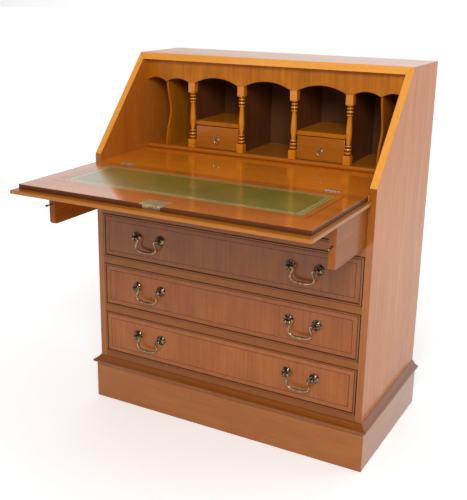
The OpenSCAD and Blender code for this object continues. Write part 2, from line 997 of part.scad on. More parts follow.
left_side();
right_side();
top_board();
back_panel();
bottom_board();
plinth_front();
plinth_sides();
plinth_bearers();
plinth_moulding();
drawer_rails();
drawer_runners();
dust_board();
loper_guides();
writing_deck();
gallery_base();
gallery_partitions();
gallery_dividers();
gallery_shelves();
gallery_valance();
gallery_balusters();
deck_hinge_leaves();
hinge_pins();
lock_keep();
fall_board();
fall_leather();
fall_hinge_leaves();
fall_lock();
lock_bolt();
left_loper();
right_loper();
left_loper_knob();
right_loper_knob();
left_small_drawer();
right_small_drawer();
left_ring_pull();
right_ring_pull();
for (n = [0:3]) {
    drawer_front(n);
    drawer_bead(n);
    drawer_box(n);
    drawer_posts(n);
    drawer_bail(n, -1);
    drawer_bail(n, 1);
}
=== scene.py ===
import json
import math

import bmesh
import bpy
from mathutils import Matrix, Vector


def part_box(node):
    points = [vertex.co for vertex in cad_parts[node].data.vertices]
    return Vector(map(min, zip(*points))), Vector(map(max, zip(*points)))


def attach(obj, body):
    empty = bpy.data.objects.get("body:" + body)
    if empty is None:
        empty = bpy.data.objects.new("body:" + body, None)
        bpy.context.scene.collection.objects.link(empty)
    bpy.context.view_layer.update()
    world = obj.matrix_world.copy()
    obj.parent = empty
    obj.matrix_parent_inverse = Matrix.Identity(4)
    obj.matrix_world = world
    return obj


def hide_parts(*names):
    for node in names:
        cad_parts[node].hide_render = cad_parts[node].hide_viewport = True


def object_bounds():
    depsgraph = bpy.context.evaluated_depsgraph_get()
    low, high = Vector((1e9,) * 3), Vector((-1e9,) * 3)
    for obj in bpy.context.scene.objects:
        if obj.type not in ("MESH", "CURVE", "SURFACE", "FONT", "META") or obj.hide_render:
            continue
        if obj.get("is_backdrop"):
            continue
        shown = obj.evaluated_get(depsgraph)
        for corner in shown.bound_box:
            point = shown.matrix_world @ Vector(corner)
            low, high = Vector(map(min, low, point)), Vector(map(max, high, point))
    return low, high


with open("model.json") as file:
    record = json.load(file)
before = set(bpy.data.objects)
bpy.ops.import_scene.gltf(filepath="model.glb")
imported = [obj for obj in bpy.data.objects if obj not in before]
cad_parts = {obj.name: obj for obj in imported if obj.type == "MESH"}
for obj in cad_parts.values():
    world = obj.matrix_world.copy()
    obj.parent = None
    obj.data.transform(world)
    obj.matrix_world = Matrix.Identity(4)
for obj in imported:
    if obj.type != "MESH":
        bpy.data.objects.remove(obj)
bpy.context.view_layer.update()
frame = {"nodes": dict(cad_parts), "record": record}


# ------------------------------------------------------------------ plinth
# The desk stands on a skirt of veneered boards, mitred at the front corners. A cyma moulding
# in three mitred lengths is glued round its top, and plain bearers stiffen it inside.


def copy_of(*nodes):
    """The merged shape of CAD nodes, its flat faces in one piece each."""
    bm = bmesh.new()
    for node in nodes:
        bm.from_mesh(frame["nodes"][node].data)
    bmesh.ops.remove_doubles(bm, verts=bm.verts, dist=2e-6)
    bmesh.ops.dissolve_limit(
        bm, angle_limit=math.radians(0.6), verts=bm.verts, edges=bm.edges, delimit={"NORMAL"}
    )
    return bm


def ease_edges(bm, width, segments=2, near=None, over=35):
    """Rounds the outer corners as sandpaper does; near() picks edges by their middle."""
    edges = []
    for e in bm.edges:
        if len(e.link_faces) != 2 or not e.is_convex:
            continue
        if e.calc_face_angle() < math.radians(over):
            continue
        if near is None or near((e.verts[0].co + e.verts[1].co) / 2):
            edges.append(e)
    bmesh.ops.bevel(
        bm, geom=edges, offset=width, offset_type="OFFSET", affect="EDGES",
        segments=segments, profile=0.5, material=-1, clamp_overlap=True,
    )


def lay_grain(bm, along, shift=0.0, faces=None):
    """Gives faces a UV map in metres whose U runs with the grain."""
    uv = bm.loops.layers.uv.get("grain") or bm.loops.layers.uv.new("grain")
    along = Vector(along)
    for f in faces or bm.faces:
        n = f.normal
        u = along - n * along.dot(n)
        if u.length < 0.35:  # end grain
            u = Vector((0, 0, 1)) - n * n.z
            if u.length < 0.35:
                u = Vector((1, 0, 0)) - n * n.x
        u.normalize()
        v = n.cross(u)
        for loop in f.loops:
            loop[uv].uv = (loop.vert.co.dot(u) + shift, loop.vert.co.dot(v) + shift * 0.37)


def make_piece(bm, name, body, materials, nodes=(), sharp=50):
    """Turns a shape into a piece that rides on a body and stands for its CAD nodes."""
    mesh = bpy.data.meshes.new(name)
    bm.to_mesh(mesh)
    bm.free()
    for m in materials:
        mesh.materials.append(m)
    mesh.polygons.foreach_set("use_smooth", [True] * len(mesh.polygons))
    mesh.set_sharp_from_angle(angle=math.radians(sharp))
    piece = bpy.data.objects.new(name, mesh)
    bpy.context.scene.collection.objects.link(piece)
    weighted = piece.modifiers.new("even_shading", "WEIGHTED_NORMAL")
    weighted.keep_sharp = True
    weighted.weight = 80
    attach(piece, body)
    if nodes:
        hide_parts(*nodes)
    return piece


def add_math(tree, kind, a, b=None, c=None):
    """A Math node on values or sockets; returns its result."""
    node = tree.nodes.new("ShaderNodeMath")
    node.operation = kind
    for socket, value in zip(node.inputs, (a, b, c)):
        if isinstance(value, (int, float)):
            socket.default_value = value
        elif value is not None:
            tree.links.new(value, socket)
    return node.outputs[0]


def add_noise(tree, vector, stretch, scale, detail, roughness=0.55):
    """Noise on a vector stretched by (along, across); returns its value."""
    spread = tree.nodes.new("ShaderNodeVectorMath")
    spread.operation = "MULTIPLY"
    tree.links.new(vector, spread.inputs[0])
    spread.inputs[1].default_value = (stretch[0], stretch[1], 1.0)
    noise = tree.nodes.new("ShaderNodeTexNoise")
    noise.inputs["Scale"].default_value = scale
    noise.inputs["Detail"].default_value = detail
    noise.inputs["Roughness"].default_value = roughness
    tree.links.new(spread.outputs[0], noise.inputs["Vector"])
    return noise.outputs["Fac"]


def add_ramp(tree, value, low, high, out_low=0.0, out_high=1.0):
    """Maps a value from one span to another, clamped."""
    node = tree.nodes.new("ShaderNodeMapRange")
    tree.links.new(value, node.inputs["Value"])
    node.inputs["From Min"].default_value = low
    node.inputs["From Max"].default_value = high
    node.inputs["To Min"].default_value = out_low
    node.inputs["To Max"].default_value = out_high
    return node.outputs["Result"]


def build_wood_figure():
    """The figure of yew veneer: long streaks, soft curl and fine pores."""
    tree = bpy.data.node_groups.new("wood_figure", "ShaderNodeTree")
    face = tree.interface
    face.new_socket("Vector", in_out="INPUT", socket_type="NodeSocketVector")
    face.new_socket("Light", in_out="INPUT", socket_type="NodeSocketColor")
    face.new_socket("Dark", in_out="INPUT", socket_type="NodeSocketColor")
    face.new_socket("Contrast", in_out="INPUT", socket_type="NodeSocketFloat")
    face.new_socket("Color", in_out="OUTPUT", socket_type="NodeSocketColor")
    face.new_socket("Roughness", in_out="OUTPUT", socket_type="NodeSocketFloat")
    face.new_socket("Height", in_out="OUTPUT", socket_type="NodeSocketFloat")
    into = tree.nodes.new("NodeGroupInput")
    out = tree.nodes.new("NodeGroupOutput")
    vector = into.outputs["Vector"]
    streak = add_noise(tree, vector, (4.0, 150.0), 1.0, 5, 0.62)
    broad = add_noise(tree, vector, (1.4, 17.0), 1.0, 3)
    curl = add_noise(tree, vector, (16.0, 22.0), 1.0, 2)
    pores = add_noise(tree, vector, (60.0, 1300.0), 1.0, 2)
    mixed = add_math(tree, "MULTIPLY", streak, 0.42)
    mixed = add_math(tree, "MULTIPLY_ADD", broad, 0.38, mixed)
    mixed = add_math(tree, "MULTIPLY_ADD", curl, 0.20, mixed)
    centred = add_math(tree, "SUBTRACT", mixed, 0.5)
    spread = add_math(tree, "MULTIPLY", centred, into.outputs["Contrast"])
    factor = add_math(tree, "ADD", spread, 0.5)
    tone = tree.nodes.new("ShaderNodeMix")
    tone.data_type = "RGBA"
    tone.clamp_factor = True
    tree.links.new(factor, tone.inputs["Factor"])
    tree.links.new(into.outputs["Dark"], tone.inputs["A"])
    tree.links.new(into.outputs["Light"], tone.inputs["B"])
    open_pore = add_ramp(tree, pores, 0.33, 0.45, 0.80, 1.0)
    shade = tree.nodes.new("ShaderNodeVectorMath")
    shade.operation = "SCALE"
    tree.links.new(tone.outputs["Result"], shade.inputs[0])
    tree.links.new(open_pore, shade.inputs["Scale"])
    tree.links.new(shade.outputs[0], out.inputs["Color"])
    tree.links.new(add_ramp(tree, streak, 0.3, 0.7, 0.44, 0.34), out.inputs["Roughness"])
    tree.links.new(add_math(tree, "MULTIPLY_ADD", open_pore, 0.6, streak), out.inputs["Height"])
    return tree


wood_figure = build_wood_figure()


def polished_wood(name, light, dark, contrast=2.2, coat=0.8, coat_roughness=0.13):
    """Veneer under a rubbed lacquer."""
    mat = bpy.data.materials.new(name)
    mat.use_nodes = True
    tree = mat.node_tree
    shader = tree.nodes["Principled BSDF"]
    uv = tree.nodes.new("ShaderNodeUVMap")
    uv.uv_map = "grain"
    figure = tree.nodes.new("ShaderNodeGroup")
    figure.node_tree = wood_figure
    figure.inputs["Light"].default_value = (*light, 1)
    figure.inputs["Dark"].default_value = (*dark, 1)
    figure.inputs["Contrast"].default_value = contrast
    tree.links.new(uv.outputs[0], figure.inputs["Vector"])
    tree.links.new(figure.outputs["Color"], shader.inputs["Base Color"])
    tree.links.new(figure.outputs["Roughness"], shader.inputs["Roughness"])
    bump = tree.nodes.new("ShaderNodeBump")
    bump.inputs["Strength"].default_value = 0.12
    bump.inputs["Distance"].default_value = 0.0004
    tree.links.new(figure.outputs["Height"], bump.inputs["Height"])
    tree.links.new(bump.outputs[0], shader.inputs["Normal"])
    shader.inputs["Coat Weight"].default_value = coat
    shader.inputs["Coat Roughness"].default_value = coat_roughness
    shader.inputs["Specular IOR Level"].default_value = 0.10
    return mat


plinth_wood = polished_wood("plinth_veneer", (0.430, 0.136, 0.015), (0.256, 0.067, 0.005))
moulding_wood = polished_wood("moulding_veneer", (0.317, 0.096, 0.011), (0.172, 0.042, 0.004))
inner_beech = polished_wood(
    "inner_beech", (0.66, 0.42, 0.22), (0.52, 0.30, 0.13), contrast=1.4, coat=0.1,
    coat_roughness=0.35,
)

plinth_corner = 0.0012
moulding_corner = 0.0006
LENGTHWISE, FORE_AND_AFT, UPRIGHT = (1, 0, 0), (0, 1, 0), (0, 0, 1)

bm = copy_of("plinth_front")
ease_edges(bm, plinth_corner, 3)
lay_grain(bm, LENGTHWISE, 1.3)
make_piece(bm, "plinth_front_board", "carcase", [plinth_wood], ["plinth_front"])

bm = copy_of("plinth_sides")
ease_edges(bm, plinth_corner, 3)
lay_grain(bm, FORE_AND_AFT, 2.1)
make_piece(bm, "plinth_side_boards", "carcase", [plinth_wood], ["plinth_sides"])

bm = copy_of("plinth_moulding")
ease_edges(bm, moulding_corner, 2, over=60)
front_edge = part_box("left_side")[0].y
for f in bm.faces:
    middle = f.calc_center_median()
    runs_back = abs(middle.x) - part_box("right_side")[1].x > front_edge - middle.y
    lay_grain(bm, FORE_AND_AFT if runs_back else LENGTHWISE, 0.4, [f])
make_piece(
    bm, "plinth_moulding_strips", "carcase", [moulding_wood], ["plinth_moulding"],
    sharp=32,
)

bm = copy_of("plinth_bearers")
lay_grain(bm, LENGTHWISE, 3.0)
make_piece(bm, "plinth_inner_bearers", "carcase", [inner_beech], ["plinth_bearers"])


# ------------------------------------------------------------------ side panels and top
# Two veneered panels, cut to the slope at the front, meet the top board in mitres. The long edges
# are lipped with a golden strip, which shows bright along the slope: its colour is raised further
# there as painted light, and the front edges get a darker colour as painted shade.
side_wood = polished_wood(
    "side_veneer", (0.583, 0.188, 0.023), (0.396, 0.104, 0.007), contrast=2.4, coat=0.46
)
# The lipping colour is brighter than the wood itself: painted light on the up-facing slope.
lipping_painted_light = polished_wood(
    "lipping", (0.960, 0.410, 0.055), (0.740, 0.255, 0.024), contrast=1.6
)
# The stile colour is darkened: painted shade on the front-facing edges.
stile_painted_shade = polished_wood("stile_veneer_painted_shade", (0.379, 0.116, 0.014), (0.247, 0.063, 0.006))
case_corner = 0.0008
LIPPING, STILE = 1, 2


def case_board(node, name, along, shift):
    """A board with a lipped slope, lightened as painted light, and a veneered front edge, darkened
    as painted shade.
    """
    bm = copy_of(node)
    ease_edges(bm, case_corner, 2)
    lay_grain(bm, along, shift)
    # Faces are picked by which way they look: slope faces take painted light, front faces painted
    # shade.
    slope = [f for f in bm.faces if f.normal.y < -0.3 and f.normal.z > 0.3]
    front = [f for f in bm.faces if f.normal.y < -0.95]
    for f in slope:
        f.material_index = LIPPING
    for f in front:
        f.material_index = STILE
    lay_grain(bm, along, shift + 0.7, slope + front)
    make_piece(
        bm, name, "carcase", [side_wood, lipping_painted_light, stile_painted_shade], [node]
    )


case_board("left_side", "left_side_panel", UPRIGHT, 0.0)
case_board("right_side", "right_side_panel", UPRIGHT, 4.2)
case_board("top_board", "top_panel", LENGTHWISE, 1.9)

bm = copy_of("back_panel")
lay_grain(bm, UPRIGHT, 5.0)
back_wood = polished_wood(
    "back_board", (0.135, 0.052, 0.018), (0.090, 0.029, 0.009), contrast=1.8, coat=0.15,
    coat_roughness=0.4,
)
make_piece(bm, "back_board", "carcase", [back_wood], ["back_panel"])


# ------------------------------------------------------------------ rails, runners and boards
# The rails between the drawers are veneered on their front edges. Behind them run plain beech
# runners, the bottom board and the dust board; two upright strips guide the lopers.
rail_wood = polished_wood(
    "rail_veneer", (0.293, 0.093, 0.009), (0.192, 0.048, 0.003), coat=0.5
)
rail_corner = 0.0006

for node, name, wood, along, slot in (
    ("drawer_rails", "drawer_rail_boards", rail_wood, LENGTHWISE, "rail_veneer"),
    ("loper_guides", "loper_guide_strips", rail_wood, UPRIGHT, "rail_veneer"),
    ("drawer_runners", "drawer_runner_strips", inner_beech, FORE_AND_AFT, "inner_wood"),
    ("bottom_board", "bottom_inner_board", inner_beech, LENGTHWISE, "inner_wood"),
    ("dust_board", "dust_inner_board", inner_beech, LENGTHWISE, "inner_wood"),
):
    bm = copy_of(node)
    ease_edges(bm, rail_corner, 2)
    lay_grain(bm, along, 2.7)
    make_piece(bm, name, "carcase", [wood], [node])


# ------------------------------------------------------------------ writing deck and gallery
# The fixed deck carries a gallery on a nosed base: partitions coloured near-black as painted shade
# of the compartments, thin serpentine dividers, shelves over the small drawers, a shaped valance
# and golden turned balusters with coves darkened as painted shade.
gallery_wood = polished_wood(
    "gallery_wood", (0.588, 0.189, 0.003), (0.302, 0.080, 0.002), contrast=3.2, coat=0.22
)
base_wood = polished_wood("gallery_base", (0.52, 0.160, 0.008), (0.34, 0.090, 0.004), coat=0.5)
baluster_wood = polished_wood(
    "baluster_wood", (0.779, 0.285, 0.006), (0.494, 0.142, 0.003), coat=1.0, coat_roughness=0.10
)
deck_wood = polished_wood(
    "deck_veneer", (0.848, 0.248, 0.011), (0.594, 0.148, 0.005), coat=1.0, coat_roughness=0.09
)
# Darker colour for the coves and thin necks of the turnings: painted shade.
cove_painted_shade = polished_wood("baluster_cove_painted_shade", (0.30, 0.075, 0.006), (0.18, 0.040, 0.003))
# Near-black colour for the partitions: painted shade inside the compartments.
inside_painted_shade = polished_wood(
    "gallery_inside_painted_shade", (0.170, 0.055, 0.015), (0.095, 0.025, 0.009), contrast=3.0, coat=0.4
)
gallery_corner = 0.0009

for node, name, wood, along, shift in (
    ("writing_deck", "writing_deck_board", deck_wood, LENGTHWISE, 0.9),
    ("gallery_base", "gallery_base_board", base_wood, LENGTHWISE, 2.3),
    ("gallery_partitions", "gallery_partition_boards", inside_painted_shade, UPRIGHT, 0.3),
    ("gallery_dividers", "gallery_divider_boards", gallery_wood, UPRIGHT, 1.1),
    ("gallery_shelves", "gallery_shelf_boards", gallery_wood, LENGTHWISE, 3.4),
    ("gallery_valance", "gallery_valance_board", gallery_wood, UPRIGHT, 4.4),
):
    bm = copy_of(node)
    ease_edges(bm, gallery_corner, 2, over=50)
    lay_grain(bm, along, shift)
    make_piece(bm, name, "carcase", [wood], [node])


def turned(bm, profile, foot, up, steps=28):
    """Spins a profile of (radius, height) in millimetres round a line up from its foot."""
    chain = [
        bm.verts.new(foot + Vector((r / 1000, 0, 0)) + up * (h / 1000)) for r, h in profile
    ]
    edges = [bm.edges.new(pair) for pair in zip(chain, chain[1:])]
    bmesh.ops.spin(
        bm, geom=chain + edges, cent=foot, axis=up, angle=2 * math.pi, steps=steps,
        use_merge=True,
    )


def close_up(bm):
    """Welds the seams of a turned or swept shape and faces it outward."""
    bmesh.ops.remove_doubles(bm, verts=bm.verts, dist=1e-6)
    bmesh.ops.recalc_face_normals(bm, faces=bm.faces)


foot_turning = (
    (0.0, -7.0), (10.4, -7.0), (10.4, -5.0), (9.0, -2.0), (5.6, 0.0), (5.0, 1.6), (8.8, 3.0),
    (10.2, 5.4), (10.2, 6.6), (8.8, 9.0), (5.2, 10.4), (5.2, 12.0), (9.2, 13.4), (10.0, 15.6),
    (10.0, 16.4), (9.2, 18.6), (5.0, 20.0), (5.0, 21.6), (8.2, 23.0), (9.0, 25.0), (9.0, 25.6),
    (8.2, 27.6), (5.5, 29.0), (5.9, 32.0), (6.6, 38.0), (8.0, 47.0), (8.8, 56.0), (8.6, 64.0),
)
head_turning = (
    (7.0, -46.0), (6.1, -38.0), (5.9, -33.0), (5.4, -29.5), (8.2, -28.0), (9.0, -26.0),
    (9.0, -25.4), (8.2, -23.4), (5.2, -22.0), (5.2, -20.4), (9.0, -19.0), (9.8, -16.8),
    (9.8, -16.0), (9.0, -13.8), (5.2, -12.4), (5.2, -10.8), (8.4, -9.2), (9.0, -7.2),
    (8.2, -5.2), (5.4, -4.0), (7.4, -2.0), (9.6, -0.4), (10.4, 1.6), (10.4, 4.0), (0.0, 4.0),
)
base_block_height = 0.026
flush = 1e-5
block_round = 0.0045
block_corner = 0.0008
groove_radius = 0.0072
groove_floor = 0.0054
groove_slope = 0.25
block_face = 0.49
GROOVE = 1
baluster_low, baluster_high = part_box("gallery_balusters")
block = baluster_high.y - baluster_low.y
middle_y = (baluster_low.y + baluster_high.y) / 2
middle_z = (baluster_low.z + baluster_high.z) / 2
base_z = baluster_low.z + base_block_height


def add_block(bm, x, z0, z1, turned_end):
    """A square block between z0 and z1 with its corners rounded off at the turned end."""
    part = bmesh.new()
    bmesh.ops.create_cube(
        part, size=1, matrix=Matrix.Translation((x, middle_y, (z0 + z1) / 2))
        @ Matrix.Diagonal((block, block, z1 - z0, 1))
    )
    ease_edges(part, block_round, 4, near=lambda p: abs(p.z - turned_end) < flush)
    ease_edges(
        part, block_corner, 1, over=80,
        near=lambda p: abs(p.z - turned_end) > block_round + 0.0015,
    )
    mesh = bpy.data.meshes.new("block")
    part.to_mesh(mesh)
    part.free()
    bm.from_mesh(mesh)
    bpy.data.meshes.remove(mesh)


cad_balusters = copy_of("gallery_balusters")
block_corners = [
    v.co for v in cad_balusters.verts if abs(v.co.y - middle_y) > block_face * block
]
head_z = min(co.z for co in block_corners if co.z > middle_z)
centres = []
for x in sorted({round(co.x, 4) for co in block_corners}):
    if not centres or x > centres[-1] + block:
        centres.append(x + block / 2)
cad_balusters.free()

rise = (head_z - base_z) * 1000
whole_turning = foot_turning + tuple((r, rise + h) for r, h in head_turning)
bm = bmesh.new()
for x in centres:
    add_block(bm, x, baluster_low.z, base_z, base_z)
    add_block(bm, x, head_z, baluster_high.z, head_z)
    turned(bm, whole_turning, Vector((x, middle_y, base_z)), Vector(UPRIGHT))
close_up(bm)
lay_grain(bm, UPRIGHT, 5.2)
# Faces in the coves and near the axis take the painted shade.
for f in bm.faces:
    place = f.calc_center_median()
    from_axis = min(math.hypot(place.x - x, place.y - middle_y) for x in centres)
    in_cove = from_axis < groove_radius and abs(f.normal.z) > groove_slope
    if in_cove or from_axis < groove_floor:
        f.material_index = GROOVE
make_piece(
    bm, "gallery_baluster_turnings", "carcase", [baluster_wood, cove_painted_shade],
    ["gallery_balusters"], sharp=40,
)


# ------------------------------------------------------------------ fall
# The fall is a thick board with a raised field that fits between the side panels and a thinner
# lip round three sides. It is veneered, and an olive leather is let into its face.
fall_wood = polished_wood(
    "fall_veneer", (0.676, 0.196, 0.018), (0.433, 0.102, 0.008), contrast=3.0, coat=1.0,
    coat_roughness=0.08,
)
lip_wood = polished_wood(
    "lip_veneer", (0.428, 0.144, 0.009), (0.306, 0.086, 0.004), coat=0.45
)
# Near-black colour for the upright edges of the raised field: painted shade.
edge_painted_shade = polished_wood(
    "fall_edge_painted_shade", (0.14, 0.038, 0.010), (0.075, 0.018, 0.005), coat=0.15
)
string_wood = polished_wood(
    "stringing", (0.035, 0.010, 0.004), (0.018, 0.005, 0.002), coat=0.2
)
lip_corner = 0.0028
field_corner = 0.0010
LIP, EDGE, STRING = 1, 2, 3
fall_low, fall_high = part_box("fall_board")
leather_low, leather_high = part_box("fall_leather")
string_out = 0.015
string_width = 0.0015
field_foot = 0.005
hair = 0.0001

bm = copy_of("fall_board")
ledge_z = max(v.co.z for v in bm.verts if v.co.y < fall_low.y + hair)
ease_edges(
    bm, lip_corner, 3,
    near=lambda p: p.z < ledge_z + hair and p.y < fall_high.y - field_corner,
)
ease_edges(bm, field_corner, 2, near=lambda p: p.z > ledge_z + field_foot)


def on_top(f):
    """Whether a face lies in the top of the raised field."""
    return f.normal.z > 0.99 and f.calc_center_median().z > fall_high.z - flush


for axis in (Vector(LENGTHWISE), Vector(FORE_AND_AFT)):
    for edge, way in ((leather_low, -1), (leather_high, 1)):
        for step in (0, string_width):
            top = [f for f in bm.faces if on_top(f)]
            parts = {g for f in top for g in (f, *f.edges, *f.verts)}
            line = edge + axis * way * (string_out + step)
            bmesh.ops.bisect_plane(bm, geom=list(parts), plane_no=axis, plane_co=line)
lay_grain(bm, LENGTHWISE, 0.2)
string_reach = Vector((1, 1, 0)) * (string_out + string_width)
string_low, string_high = leather_low - string_reach, leather_high + string_reach
for f in bm.faces:
    middle = f.calc_center_median()
    if middle.z < ledge_z + 2 * hair:
        f.material_index = LIP
    # The upright edges of the raised field take the painted shade.
    elif f.normal.z < 0.5 and middle.z < fall_high.z - field_corner:
        f.material_index = EDGE
    elif on_top(f):
        from_end = min(middle.x - string_low.x, string_high.x - middle.x)
        from_side = min(middle.y - string_low.y, string_high.y - middle.y)
        if 0 < min(from_end, from_side) < string_width:
            f.material_index = STRING
make_piece(
    bm, "fall_panel", "fall", [fall_wood, lip_wood, edge_painted_shade, string_wood], ["fall_board"],
)


def tooled_leather(name, centre, half):
    """Olive hide with a gilt line and a stamped border inside its edge."""
    gilt_line, gilt_half_width = 0.0060, 0.0010
    stamp_line, stamp_half_width = 0.0160, 0.0055
    stamp_pitch = 0.0085
    mat = bpy.data.materials.new(name)
    mat.use_nodes = True
    tree = mat.node_tree
    shader = tree.nodes["Principled BSDF"]
    place = tree.nodes.new("ShaderNodeTexCoord").outputs["Object"]
    moved = tree.nodes.new("ShaderNodeMapping")
    moved.inputs["Location"].default_value = (-centre.x, -centre.y, 0)
    tree.links.new(place, moved.inputs["Vector"])
    split = tree.nodes.new("ShaderNodeSeparateXYZ")
    tree.links.new(moved.outputs[0], split.inputs[0])
    from_end = add_math(tree, "SUBTRACT", half.x, add_math(tree, "ABSOLUTE", split.outputs["X"]))
    from_side = add_math(tree, "SUBTRACT", half.y, add_math(tree, "ABSOLUTE", split.outputs["Y"]))
    inside = add_math(tree, "MINIMUM", from_end, from_side)
    on_end = add_math(tree, "LESS_THAN", from_end, from_side)
    off_line = add_math(tree, "ABSOLUTE", add_math(tree, "SUBTRACT", inside, gilt_line))
    gilt = add_ramp(tree, off_line, gilt_half_width * 0.6, gilt_half_width, 1.0, 0.0)
    off_stamp = add_math(tree, "SUBTRACT", inside, stamp_line)
    in_band = add_ramp(
        tree, add_math(tree, "ABSOLUTE", off_stamp), stamp_half_width * 0.8, stamp_half_width,
        1.0, 0.0,
    )
    run = tree.nodes.new("ShaderNodeMix")
    tree.links.new(on_end, run.inputs["Factor"])
    tree.links.new(split.outputs["X"], run.inputs["A"])
    tree.links.new(split.outputs["Y"], run.inputs["B"])
    turn = 2 * math.pi / stamp_pitch
    leaf = add_math(tree, "SINE", add_math(tree, "MULTIPLY", run.outputs["Result"], turn))
    sway = add_math(tree, "MULTIPLY", leaf, stamp_half_width * 0.45)
    vine = add_math(tree, "ABSOLUTE", add_math(tree, "SUBTRACT", off_stamp, sway))
    vine = add_ramp(tree, vine, 0.0011, 0.0020, 1.0, 0.0)
    dots = add_math(tree, "SINE", add_math(tree, "MULTIPLY", run.outputs["Result"], turn))
    dots = add_math(tree, "MULTIPLY", add_ramp(tree, dots, 0.1, 0.5), in_band)
    stamped = add_math(tree, "MULTIPLY", add_math(tree, "MAXIMUM", vine, dots), in_band)
    worn = add_noise(tree, moved.outputs[0], (1, 1), 160.0, 3)
    stamped = add_math(tree, "MULTIPLY", stamped, add_ramp(tree, worn, 0.38, 0.62, 0.15, 1.0))
    gold = add_math(tree, "MAXIMUM", gilt, add_math(tree, "MULTIPLY", stamped, 0.75))
    cloud = add_noise(tree, moved.outputs[0], (1, 1), 9.0, 4)
    hide = tree.nodes.new("ShaderNodeMix")
    hide.data_type = "RGBA"
    tree.links.new(add_ramp(tree, cloud, 0.35, 0.65), hide.inputs["Factor"])
    hide.inputs["A"].default_value = (0.165, 0.132, 0.008, 1)
    hide.inputs["B"].default_value = (0.245, 0.190, 0.012, 1)
    gilded = tree.nodes.new("ShaderNodeMix")
    gilded.data_type = "RGBA"
    tree.links.new(gold, gilded.inputs["Factor"])
    tree.links.new(hide.outputs["Result"], gilded.inputs["A"])
    gilded.inputs["B"].default_value = (0.80, 0.68, 0.36, 1)
    tree.links.new(gilded.outputs["Result"], shader.inputs["Base Color"])
    tree.links.new(add_math(tree, "MULTIPLY", gold, 0.25), shader.inputs["Metallic"])
    pebble = tree.nodes.new("ShaderNodeTexVoronoi")
    pebble.inputs["Scale"].default_value = 900.0
    tree.links.new(moved.outputs[0], pebble.inputs["Vector"])
    height = add_math(tree, "MULTIPLY_ADD", gold, -1.5, pebble.outputs["Distance"])
    bump = tree.nodes.new("ShaderNodeBump")
    bump.inputs["Strength"].default_value = 0.18
    bump.inputs["Distance"].default_value = 0.0004
    tree.links.new(height, bump.inputs["Height"])
    tree.links.new(bump.outputs[0], shader.inputs["Normal"])
    tree.links.new(add_ramp(tree, worn, 0.3, 0.7, 0.30, 0.40), shader.inputs["Roughness"])
    shader.inputs["Coat Weight"].default_value = 0.8
    shader.inputs["Coat Roughness"].default_value = 0.18
    return mat


leather_gap = 0.0004
leather_sink = 0.0003
leather_edge = 0.0003
centre = (leather_low + leather_high) / 2
half = (leather_high - leather_low) / 2 - Vector((leather_gap, leather_gap, leather_sink / 2))
centre.z -= leather_sink / 2
bm = bmesh.new()
bmesh.ops.create_cube(
    bm, size=2, matrix=Matrix.Translation(centre) @ Matrix.Diagonal((*half, 1))
)
ease_edges(bm, leather_edge, 2)
make_piece(
    bm, "fall_leather_panel", "fall", [tooled_leather("olive_leather", centre, half)],
    ["fall_leather"],
)


# ------------------------------------------------------------------ hinges and lock
# Two brass butt hinges are let in flush at the hinge line. The cut lock in the front of the
# fall has a brass plate and selvedge; its bolt shoots into a keep in the top board.


def brass(name, bright, dark, roughness, tarnish=0.5):
    """Brass with tarnish in soft patches."""
    mat = bpy.data.materials.new(name)
    mat.use_nodes = True
    tree = mat.node_tree
    shader = tree.nodes["Principled BSDF"]
    place = tree.nodes.new("ShaderNodeTexCoord").outputs["Object"]
    patches = add_noise(tree, place, (1, 1), 160.0, 4)
    specks = add_noise(tree, place, (1, 1), 900.0, 2)
    blend = tree.nodes.new("ShaderNodeMix")
    blend.data_type = "RGBA"
    worn = add_math(tree, "MULTIPLY_ADD", specks, 0.25, patches)
    tree.links.new(
        add_ramp(tree, worn, tarnish, tarnish + 0.22), blend.inputs["Factor"]
    )
    blend.inputs["A"].default_value = (*dark, 1)
    blend.inputs["B"].default_value = (*bright, 1)
    tree.links.new(blend.outputs["Result"], shader.inputs["Base Color"])
    shader.inputs["Metallic"].default_value = 1.0
    tree.links.new(
        add_ramp(tree, patches, 0.3, 0.7, roughness + 0.12, roughness), shader.inputs["Roughness"]
    )
    bump = tree.nodes.new("ShaderNodeBump")
    bump.inputs["Strength"].default_value = 0.15
    bump.inputs["Distance"].default_value = 0.0003
    tree.links.new(specks, bump.inputs["Height"])
    tree.links.new(bump.outputs[0], shader.inputs["Normal"])
    return mat


aged_brass = brass("aged_brass", (0.46, 0.32, 0.17), (0.13, 0.085, 0.045), 0.24, 0.49)
rosette_brass = brass("rosette_brass", (0.36, 0.26, 0.17), (0.050, 0.032, 0.022), 0.20, 0.56)
ring_brass = brass("ring_brass", (0.92, 0.80, 0.55), (0.60, 0.45, 0.25), 0.16)
hinge_brass = brass("hinge_brass", (0.92, 0.78, 0.66), (0.50, 0.36, 0.28), 0.30)
lock_brass = brass("lock_brass", (0.62, 0.50, 0.26), (0.34, 0.26, 0.13), 0.30)

plate_corner = 0.0002
for node, name, body, metal, slot in (
    ("deck_hinge_leaves", "deck_hinge_plates", "carcase", hinge_brass, "aged_brass"),
    ("hinge_pins", "hinge_pin_rods", "carcase", hinge_brass, "aged_brass"),
    ("fall_hinge_leaves", "fall_hinge_plates", "fall", hinge_brass, "aged_brass"),
    ("fall_lock", "fall_lock_plates", "fall", lock_brass, "lock_brass"),
    ("lock_bolt", "lock_bolt_bar", "lock_bolt", lock_brass, "lock_brass"),
    ("lock_keep", "lock_keep_plate", "carcase", lock_brass, "lock_brass"),
):
    bm = copy_of(node)
    ease_edges(bm, plate_corner, 1, over=60)
    make_piece(bm, name, body, [metal], [node], sharp=35)


